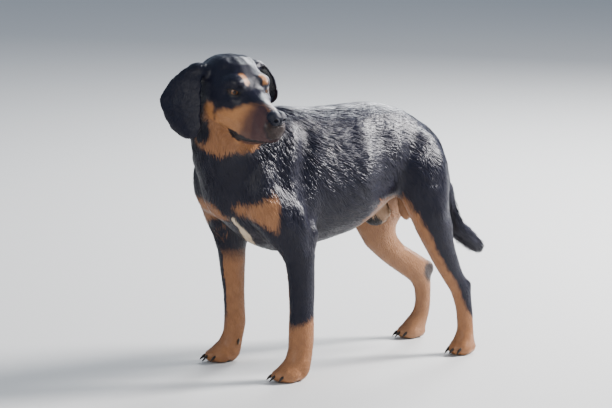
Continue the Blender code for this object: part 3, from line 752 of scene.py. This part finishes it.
def hair_colors():
    """Colours of the hair from the masks of the markings and a tone."""
    group = bpy.data.node_groups.new("hair_colors", "ShaderNodeTree")
    for way, kind, names in (
        ("INPUT", "Float", ("Tan", "Cream", "Shade", "Dark", "Tone")), ("INPUT", "Vector", ("Place",)),
        ("OUTPUT", "Color", ("Color",)), ("OUTPUT", "Float", ("Rough",)),
    ):
        for name in names:
            group.interface.new_socket(name, in_out=way, socket_type="NodeSocket" + kind)
    given = node(group, "NodeGroupInput").outputs
    broad = noise_at(group, given["Place"], 9.0)
    fine = noise_at(group, given["Place"], 160.0)
    tone = sum_of(group, "ADD", given["Tone"], sum_of(group, "MULTIPLY", fine, 0.5))
    black = mix_color(group, sum_of(group, "MULTIPLY", tone, 0.22), BLACK, BROWN_BLACK)
    deep = sum_of(group, "MULTIPLY", sum_of(group, "ADD", broad, tone), 0.42)
    tan = mix_color(group, deep, TAN, TAN_DEEP)
    color = mix_color(group, given["Tan"], black, mix_color(group, given["Shade"], tan, MUZZLE_SHADE))
    color = mix_color(group, given["Cream"], color, CREAM)
    color = mix_color(group, given["Dark"], color, LEATHER)
    rough = sum_of(group, "ADD", sum_of(group, "MULTIPLY", fine, 0.16), 0.235)
    feed(group, node(group, "NodeGroupOutput"), {"Color": color, "Rough": rough})
    return group


HAIR = hair_colors()


def coat_material(name, on_tufts):
    """Hair by the markings; tufts carry a tone of their own, the skin has one tone."""
    material, tree, shader = new_material(name)
    place = node(tree, "ShaderNodeTexCoord").outputs["Object"]
    masks = node(tree, "ShaderNodeAttribute", attribute_name="markings")
    split = node(tree, "ShaderNodeSeparateColor")
    tree.links.new(masks.outputs["Color"], split.inputs[0])
    tone = node(tree, "ShaderNodeAttribute", attribute_name="tone").outputs["Fac"] if on_tufts else 0.5
    hair = feed(tree, node(tree, "ShaderNodeGroup", node_tree=HAIR), {
        "Tan": split.outputs[0], "Cream": split.outputs[1], "Shade": split.outputs[2],
        "Dark": masks.outputs["Alpha"], "Place": place, "Tone": tone,
    })
    feed(tree, shader, {
        "Base Color": hair.outputs["Color"], "Roughness": hair.outputs["Rough"], "Specular IOR Level": 0.24,
        "Sheen Weight": 0.03, "Sheen Roughness": 0.35, "Sheen Tint": (0.75, 0.85, 1.0, 1),
    })
    relief(tree, shader, noise_at(tree, place, 700.0 if on_tufts else 420.0, 3.0), 0.35, 0.0006)
    return material


# ---- lie, length and width of the coat ----
LIE = {
    "neck": (0.0, 0.45, -1.0), "forearm": (0.0, 0.2, -1.0), "gaskin": (0.0, 0.45, -1.0),
    "hindfoot": (0.0, 0.0, -1.0), "forepaw_left": (0.0, -0.5, -0.8), "forepaw_right": (-0.2, -0.5, -0.8),
    "tail": (0.0, 0.35, -1.0), "tail_end": (0.05, 0.9, -0.7),
}
SHOULDER_LIE = np.array((0.0, 0.25, -1.0))
THROAT_LIE = np.array((0.0, -0.6, -0.8))
TOE_LIE = np.array((0.0, -1.0, -0.45))
MM = 0.001
# so much room for each tuft that none grows on the soles
BARE_ROOM = 1e4
# length, width and lift of a tuft in millimetres, and square millimetres to each
GROWTH = {
    "head": (6.5, 1.3, 0.5, 2.9), "ear": (9.0, 1.6, 0.6, 3.8), "neck": (22.0, 2.2, 1.7, 6.2),
    "chest": (24.0, 2.2, 1.1, 6.8), "hindquarters": (24.0, 2.2, 1.2, 6.8), "forearm": (10.0, 1.6, 0.7, 4.2),
    "gaskin": (11.5, 1.7, 0.8, 4.2), "forepaw": (6.0, 1.4, 0.5, 3.6), "hindfoot": (6.5, 1.4, 0.5, 3.6),
    "tail": (30.0, 2.4, 3.8, 4.2),
}


def lie_of(points, label):
    """The way that the hair lies: back over head and trunk, down the legs, out along the tail."""
    flow = np.zeros((len(points), 3))
    y, z = (points - BODY_AT).T[1:]
    for name, way in LIE.items():
        flow[is_in(label, name)] = unit(np.array(way))
    rear = step(y, -0.17, -0.02)[:, None]
    along = rows(0.0, 1.0, -0.3 - 0.3 * step(0.45 - z, 0.0, 0.06))
    trunk = unit(SHOULDER_LIE * (1 - rear) + along * rear)
    thigh = unit(rows(0.0, 0.75 - 0.3 * step(y, 0.15, 0.3), -step(0.5 - z, 0.0, 0.14) - 0.05))
    place = in_head(points)
    side = np.sign(place[:, 0])
    rise = 0.25 * step(place[:, 2], -0.02, 0.03) - 0.25 * step(-place[:, 2], 0.02, 0.07)
    back = rows(0.12 * side, -1.0, rise)
    low = step(-place[:, 2], 0.085, 0.12)[:, None] * step(0.05 - place[:, 1], 0.0, 0.05)[:, None]
    face = unit(back * (1 - low) + THROAT_LIE * low) @ AXES
    ear = unit(rows(0.25 * side, -0.15, -1.0)) @ AXES
    for name, ways in (("chest", trunk), ("hindquarters", thigh), ("head", face), ("ear", ear)):
        flow = np.where(is_in(label, name)[:, None], ways, flow)
    flow[is_in(label, "hindfoot") & (z < FOOT_TOP)] = unit(TOE_LIE)
    return flow


def growth_of(points, normal, label):
    """Length, width, lift and room of the tufts at each vertex, in metres."""
    values = np.zeros((len(points), 4))
    for name, given in GROWTH.items():
        values[is_in(label, name)] = given
    forward = in_head(points)[:, 1]
    head = is_in(label, "head")
    body = is_in(label, *TRUNK)
    withers = is_in(label, "chest", "neck") * hump(from_point(points, (0.0, -0.1, 0.47)), 0.09)
    # where, and the change there in length, width, lift and room
    changes = (
        (head * step(forward, -0.055, 0.0), (-0.42, -0.3, -0.35, -0.35)),
        (head * step(forward, 0.02, 0.07), (-0.25, 0, 0, 0)),
        (body * step(normal[:, 2], 0.3, 0.8), (0.25, 0, 0, 0)),
        (withers, (0.25, 0, 0.5, 0)),
        (body * step(-normal[:, 2], 0.4, 0.8), (-0.2, 0, 0, 0)),
        (is_in(label, "hindquarters") * step(normal[:, 1], 0.5, 0.9), (0.25, 0, 0, 0)),
        (is_in(label, "tail_end"), (0, 0, 0.3, 0)),
    )
    for share, amounts in changes:
        values *= 1 + share[:, None] * np.array(amounts)
    soles = (points[:, 2] < 0.004) & (normal[:, 2] < -0.7)
    values[soles, 3] *= BARE_ROOM
    return values * MM


class Skin:
    """The finished skin with what grows on it, ready for sowing tufts."""

    def __init__(self, obj):
        self.points = places(obj)
        self.normal = normals_of(obj)
        self.edges = edges_of(obj)
        self.label = labels(self.points)
        lie = blur(lie_of(self.points, self.label), self.edges, 14)
        lie -= self.normal * (lie * self.normal).sum(1, keepdims=True)
        self.lie = unit(blur(unit(lie), self.edges, 2))
        self.growth = blur(growth_of(self.points, self.normal, self.label), self.edges, 8)
        mesh = obj.data
        mesh.calc_loop_triangles()
        self.faces = gather(mesh.loop_triangles, "vertices", 3, np.int32)
        loops = gather(mesh.loop_triangles, "loops", 3, np.int32)
        self.uv = gather(mesh.uv_layers["OFBake"].data, "uv", 2)[loops]
        self.tree = BVHTree.FromPolygons(self.points.tolist(), self.faces.tolist(), all_triangles=True)

    def nearest(self, points):
        found = [self.tree.find_nearest(point)[:2] for point in points]
        return np.array([f[0][:] for f in found]), np.array([f[1][:] for f in found])


def sow(skin, rng):
    """Roots spread over the skin by the room that each tuft has, with their share of each value."""
    corners = skin.points[skin.faces]
    area = np.linalg.norm(np.cross(corners[:, 1] - corners[:, 0], corners[:, 2] - corners[:, 0]), axis=1) / 2
    room = skin.growth[skin.faces, 3].mean(1) * MM
    wanted = area / room
    each = np.floor(wanted + rng.random(len(wanted))).astype(int)
    face = np.repeat(np.arange(len(each)), each)
    a = rng.random((len(face), 2))
    flip = a.sum(1) > 1
    a[flip] = 1 - a[flip]
    share = rows(1 - a.sum(1), *a.T)[:, :, None]
    corner = skin.faces[face]
    root = (skin.points[corner] * share).sum(1)
    normal = unit((skin.normal[corner] * share).sum(1))
    lie = (skin.lie[corner] * share).sum(1)
    lie = unit(lie - normal * (lie * normal).sum(1, keepdims=True))
    growth = (skin.growth[corner] * share).sum(1)
    uv = (skin.uv[face] * share).sum(1)
    label = skin.label[corner[:, 0]]
    return root, normal, lie, growth, uv, label


def near_opening(root):
    """Roots on the eyeball, in the lids' opening or under the nose leather, where nothing grows."""
    place = in_head(root)
    bare = np.zeros(len(root), bool)
    for side in (1, -1):
        wide, high, distance = eye_angles(place, side)[:3]
        bare |= (distance < 0.016) & (lid_gap(wide, high) < 1.3) & (np.abs(wide) < 1.4)
    return bare | (from_point(place, NOSE_AT, NOSE_SIZE) < 1.08)


# how deep a root stands in the skin, and the thickness of a tuft as a share of its width
ROOT_DEPTH = 0.0004
THICKNESS = 0.17


def tufts(skin, rng):
    """All tufts as arrays: two rings of three points and a tip, with masks, tone and unwrap place."""
    sown = sow(skin, rng)
    keep = ~near_opening(sown[0])
    root, normal, lie, growth, uv, label = (values[keep] for values in sown)
    count = len(root)
    long = step(growth[:, 0], 0.008, 0.018)
    aside = np.cross(normal, lie)
    across = rows((root * aside).sum(1), (root * lie).sum(1) * 0.35, root[:, 2] * 0.2)
    swing = 0.09 * rng.normal(size=count) + 0.26 * ripple(root, 0.05, 11) * long
    swing += 0.13 * ripple(across, 0.014, 12)
    lie = lie * np.cos(swing)[:, None] + aside * np.sin(swing)[:, None]
    aside = np.cross(normal, lie)
    length = growth[:, 0] * rng.uniform(0.72, 1.25, count)
    width = growth[:, 1] * rng.uniform(0.75, 1.25, count)
    lock = ripple(across, 0.009, 13) * long
    lift = growth[:, 2] * (rng.uniform(0.5, 1.4, count) + 0.55 * lock)
    lift = np.maximum(lift, 0.0003)
    half, half_normal = skin.nearest(root + lie * (length * 0.5)[:, None])
    tip, tip_normal = skin.nearest(root + lie * length[:, None])
    reach = half + (tip - half) * 0.45
    masks = markings(reach, half_normal, labels(reach))
    half = half + half_normal * (lift * 0.8)[:, None]
    tip = tip + tip_normal * lift[:, None]
    base = root - normal * ROOT_DEPTH
    thick = width * THICKNESS
    points = np.empty((count, TUFT_POINTS, 3))
    facing = np.empty((count, TUFT_POINTS, 3))
    for ring, (at, up, wide) in enumerate(((base, normal, 0.35), (half, half_normal, 0.5))):
        for corner, way in enumerate((-1, 1)):
            points[:, ring * 3 + corner] = at + aside * (way * width * wide)[:, None]
            facing[:, ring * 3 + corner] = unit(up + aside * (way * 0.35))
        points[:, ring * 3 + 2] = at + up * thick[:, None]
        facing[:, ring * 3 + 2] = up
    points[:, 6] = tip
    facing[:, 6] = tip_normal
    tone = np.clip(0.5 + 0.22 * rng.normal(size=count) + 0.2 * ripple(root, 0.02, 21), 0, 1)
    return points, facing, masks, tone, uv, label


TUFT_POINTS = 7
TUFT_QUADS = ((0, 3, 5, 2), (2, 5, 4, 1), (1, 4, 3, 0))
TUFT_TRIANGLES = ((0, 2, 1), (3, 6, 5), (5, 6, 4), (4, 6, 3))
ACROSS = np.array([0.0, 1.0, 0.5, 0.0, 1.0, 0.5, 0.5])
ALONG = np.array([0.0, 0.0, 0.0, 0.5, 0.5, 0.5, 1.0])
# size of a tuft's patch in the unwrap, and how far its facing follows the skin's
PATCH = 0.003
SLEEK = 0.8
# corners of the faces turned to the skin and of the cap at the root
UNDER_CORNERS = (8, 9, 10, 11, 12, 13, 14, 21, 22, 23)


def face_as_skin(mesh, facing, loops):
    """Turns the shine of the tufts' outer faces toward that of the skin, so that they shine as one coat."""
    corners = gather(mesh.corner_normals, "vector", 3).reshape(len(facing), len(loops), 3)
    wanted = unit(corners * (1 - SLEEK) + facing[:, loops] * SLEEK)
    under = np.isin(np.arange(len(loops)), UNDER_CORNERS)[None, :, None]
    wanted = np.where(under, corners, wanted)
    mesh.normals_split_custom_set(wanted.reshape(-1, 3).astype(np.float32))


def coat_piece(name, material, points, facing, masks, tone, uv):
    """One mesh of many tufts."""
    count = len(points)
    loops = np.array([i for face in TUFT_QUADS + TUFT_TRIANGLES for i in face])
    sizes = np.array([len(face) for face in TUFT_QUADS + TUFT_TRIANGLES])
    mesh = bpy.data.meshes.new(name)
    mesh.vertices.add(count * TUFT_POINTS)
    give(mesh.vertices, "co", points)
    mesh.loops.add(count * len(loops))
    give(mesh.loops, "vertex_index", loops[None] + TUFT_POINTS * np.arange(count)[:, None], np.int32)
    mesh.polygons.add(count * len(sizes))
    starts = np.concatenate([[0], np.cumsum(np.tile(sizes, count))[:-1]])
    give(mesh.polygons, "loop_start", starts, np.int32)
    mesh.update(calc_edges=True)
    patch = (rows(ACROSS[loops], ALONG[loops]) - 0.5) * PATCH
    give(mesh.uv_layers.new(name="OFBake").data, "uv", uv[:, None] + patch[None])
    obj = bpy.data.objects.new(name, mesh)
    bpy.context.scene.collection.objects.link(obj)
    paint(obj, np.repeat(masks, TUFT_POINTS, axis=0))
    give(mesh.attributes.new("tone", "FLOAT", "POINT").data, "value", np.repeat(tone, TUFT_POINTS))
    give(mesh.polygons, "use_smooth", np.ones(count * len(sizes)), bool)
    face_as_skin(mesh, facing, loops)
    mesh.materials.append(material)
    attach(obj, "root")


COAT_PIECES = {
    "coat_head": ("head",), "coat_ears": ("ear",), "coat_neck": ("neck",), "coat_forelegs": ("fore",),
    "coat_hindlegs": ("gaskin", "hindfoot"), "coat_tail": ("tail",),
}
MOST_TUFTS = 19000


def grow_coat(skin, rng):
    """The coat in pieces of at most MOST_TUFTS tufts."""
    *grown, label = tufts(skin, rng)
    material = coat_material("coat_hair", True)
    groups = {name: np.flatnonzero(is_in(label, *starts)) for name, starts in COAT_PIECES.items()}
    for name, node_name in (("chest", "chest"), ("haunch", "hindquarters")):
        whole = np.flatnonzero(is_in(label, node_name))
        left = grown[0][whole, 0, 0] > TRUNK_MIDDLE
        groups[f"coat_{name}_left"] = whole[left]
        groups[f"coat_{name}_right"] = whole[~left]
    for name, chosen in groups.items():
        parts = math.ceil(len(chosen) / MOST_TUFTS)
        for index, some in enumerate(np.array_split(chosen, parts)):
            piece = name if parts == 1 else f"{name}_{index + 1}"
            coat_piece(piece, material, *(values[some] for values in grown))


def finish(obj, material):
    obj.data.materials.append(material)
    only(obj)
    bpy.ops.object.shade_smooth()


def new_ball(name, segments, rings):
    bpy.ops.mesh.primitive_uv_sphere_add(segments=segments, ring_count=rings, radius=1.0)
    bpy.context.object.name = name
    return bpy.context.object


def unwrap(obj):
    edit_all(obj, bpy.ops.uv.smart_project, angle_limit=math.radians(66), island_margin=0.001)
    obj.data.uv_layers.active.name = "OFBake"


# ---- eyes, nose leather and claws ----
def bare_material(name, color, roughness, coat=0.0, grain=None):
    """A smooth or leathery finish; grain is the scale and depth of its relief."""
    material, tree, shader = new_material(name)
    feed(tree, shader, {
        "Base Color": color, "Roughness": roughness, "Specular IOR Level": 0.25, "Coat Weight": coat,
        "Coat Roughness": 0.03,
    })
    if grain:
        place = node(tree, "ShaderNodeTexCoord").outputs["Object"]
        cells = feed(tree, node(tree, "ShaderNodeTexVoronoi"), {"Vector": place, "Scale": grain[0]})
        relief(tree, shader, cells.outputs["Distance"], 0.8, grain[1])
    return material


# angle from the gaze in the ramp of the eye's colours, as a multiple of its share of a half turn
ANGLE_SCALE = 1.9


def eye_material():
    """Pupil, iris and dark white of the eye by the angle from the gaze that the ball carries."""
    material = bare_material("eye_wet", (0, 0, 0, 1), 0.4, 0.35)
    tree = material.node_tree
    angle = node(tree, "ShaderNodeAttribute", attribute_name="angle")
    ramp = node(tree, "ShaderNodeValToRGB")
    stops = (
        (0.15, (0.002, 0.002, 0.003)), (0.18, (0.085, 0.032, 0.01)), (0.3, (0.19, 0.08, 0.026)),
        (0.37, (0.07, 0.026, 0.01)), (0.405, (0.008, 0.006, 0.005)),
        (0.45, (0.018, 0.012, 0.01)), (0.6, (0.035, 0.021, 0.018)), (1.0, (0.02, 0.012, 0.01)),
    )
    while len(ramp.color_ramp.elements) < len(stops):
        ramp.color_ramp.elements.new(0.5)
    for element, (where, color) in zip(ramp.color_ramp.elements, stops):
        element.position = where
        element.color = (*color, 1)
    tree.links.new(angle.outputs["Fac"], ramp.inputs["Fac"])
    place = node(tree, "ShaderNodeTexCoord").outputs["Object"]
    streaks = sum_of(tree, "MULTIPLY", noise_at(tree, place, 900.0), 0.5)
    color = mix_color(tree, streaks, ramp.outputs["Color"], (0.03, 0.012, 0.006, 1))
    feed(tree, tree.nodes["Principled BSDF"], {"Base Color": color})
    return material


def eyeball(side, material):
    """A ball with a low swell where the horny window stands, its pole turned along the gaze."""
    name = "eye_left" if side > 0 else "eye_right"
    ball = new_ball(name + "_ball", 64, 48)
    heading = unit(places(ball))
    turn = np.arccos(np.clip(heading[:, 2], -1, 1))
    gaze = unit(EYE_GAZE * (side, 1, 1)) @ AXES
    across = unit(np.cross(gaze, (0.0, 0.0, 1.0)))
    up = np.cross(across, gaze)
    swell = EYE_RADIUS + 0.0007 * hump(turn, 0.42)
    turned = heading[:, 1:2] * up - heading[:, :1] * across + heading[:, 2:] * gaze
    put(ball, from_head(EYE_OUT * (side, 1, 1)) + turned * swell[:, None])
    angles = ball.data.attributes.new("angle", "FLOAT", "POINT")
    give(angles.data, "value", turn / math.pi * ANGLE_SCALE)
    finish(ball, material)
    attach(ball, "root")
    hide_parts(name)


NOSTRIL = (0.0088, -0.0022)
NOSTRIL_SLIT = [(0.01, 0.0, -0.003), (0.014, 0.0, -0.0048), (0.018, 0.0, -0.004)]


def nose_leather():
    """The nose pad, with its nostrils, their slits and the groove between them."""
    nose = new_ball("nose_leather", 128, 96)
    heading = unit(places(nose))
    square = (np.abs(heading) ** 2.5).sum(1) ** (-1 / 2.5)
    place = heading * square[:, None]
    x, f, z = place.T
    place = rows(x * (1 - 0.2 * step(-z, -0.2, 1.0)), f, z) * NOSE_SIZE * (0.98, 1.0, 0.97)
    x, f, z = place.T
    ahead = step(f, -0.004, 0.004)
    side = np.abs(x)
    hole = np.hypot((side - NOSTRIL[0]) / 0.0036, (z - NOSTRIL[1] - 0.25 * (side - NOSTRIL[0])) / 0.003)
    back = 0.0065 * step(1.25 - hole, 0.0, 0.75) * ahead
    back += 0.0022 * hump(to_line(rows(side, 0.0, z), NOSTRIL_SLIT), 0.0011) * step(f, -0.01, 0.002)
    back += 0.0011 * hump(side, 0.0009) * step(-z, -0.0035, 0.0015) * ahead
    back += 0.0012 * hump(side, 0.004) * step(z, 0.002, 0.01) * ahead
    rim = hump(hole - 1.35, 0.35) * ahead
    place = place - unit(place) * (back - 0.0006 * rim)[:, None]
    put(nose, from_head(NOSE_AT + place))
    edit_all(nose, bpy.ops.mesh.normals_make_consistent, inside=False)
    finish(nose, bare_material("nose_leather", (0.007, 0.008, 0.016, 1), 0.45, 0.0, (900.0, 0.0004)))
    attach(nose, "root")
    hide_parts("nose")


def claws():
    """All claws in one smooth piece of horn."""
    names = sorted(name for name in NODES if "claw" in name)
    horn = merged_copy(names, "claws_horn", CLAW_VOXEL)
    apply(horn, "SMOOTH", factor=0.5, iterations=8)
    finish(horn, bare_material("claw_horn", (0.02, 0.015, 0.012, 1), 0.3))
    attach(horn, "root")
    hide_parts(*names)


# ---- making ----
skin = merged_copy(FLESH + UNDER_SKIN, "skin", SKIN_VOXEL)
settle_skin(skin)
for near in (near_head, near_face, near_eyes, near_feet):
    finer_where(skin, near)
grow_back(skin)
smooth_where(skin, near_brow(places(skin)), 26)
smooth_where(skin, near_face(places(skin)), 6)
shape_trunk(skin)
shape_head(skin)
finish(skin, coat_material("skin_coat", False))
unwrap(skin)
hide = Skin(skin)
paint(skin, markings(hide.points, hide.normal, hide.label))
grow_coat(hide, RNG)
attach(skin, "root")
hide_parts(*FLESH)
wet = eye_material()
eyeball(1, wet)
eyeball(-1, wet)
nose_leather()
claws()


# ---- floor, light and camera ----
# place, what it is aimed at, width, power and colour
LAMPS = {
    "key": ((0.95, 3.05, 2.2), (0.0, 0.0, 0.35), 1.2, 700, (1.0, 0.97, 0.97)),
    "rim": ((-1.9, 2.6, 2.2), (0.0, 0.0, 0.35), 1.3, 200, (0.95, 0.97, 1.0)),
    "fill": ((2.4, -3.4, 2.2), (0.0, 0.0, 0.3), 3.2, 110, (1.0, 0.95, 0.88)),
}
SKY = (0.6, 0.76, 1.0, 1)
SKY_STRENGTH = 0.55
FLOOR_SIZE = 40
FLOOR_COLOR = (0.44, 0.44, 0.43, 1)
CAMERA_AT = (5.48407656, -3.69319025, 1.4515)
CAMERA_AIM = (-0.27105644, 0.10928573, 0.26)
LENS = 207.09


def facing_from(at, aim):
    return (Vector(aim) - Vector(at)).to_track_quat("-Z", "Y").to_euler()


def studio():
    deselect()
    bpy.ops.mesh.primitive_plane_add(size=FLOOR_SIZE)
    floor = bpy.context.object
    floor.name = "floor"
    pale, tree, shader = new_material("pale_floor")
    feed(tree, shader, {"Base Color": FLOOR_COLOR, "Roughness": 0.9})
    floor.data.materials.append(pale)
    for name, (at, aim, size, power, color) in LAMPS.items():
        bpy.ops.object.light_add(type="AREA", location=at)
        lamp = bpy.context.object
        lamp.name = name
        lamp.rotation_euler = facing_from(at, aim)
        lamp.data.shape = "DISK"
        lamp.data.size = size
        lamp.data.energy = power
        lamp.data.color = color
    world = bpy.data.worlds.new("studio")
    world.use_nodes = True
    feed(world.node_tree, world.node_tree.nodes["Background"], {"Color": SKY, "Strength": SKY_STRENGTH})
    bpy.context.scene.world = world
    at = Vector(CAMERA_AT) + Vector(BODY_AT)
    aim = Vector(CAMERA_AIM) + Vector(BODY_AT)
    bpy.ops.object.camera_add(location=at, rotation=facing_from(at, aim))
    camera = bpy.context.object
    camera.data.lens = LENS
    camera.data.clip_end = 60.0
    bpy.context.scene.camera = camera


studio()
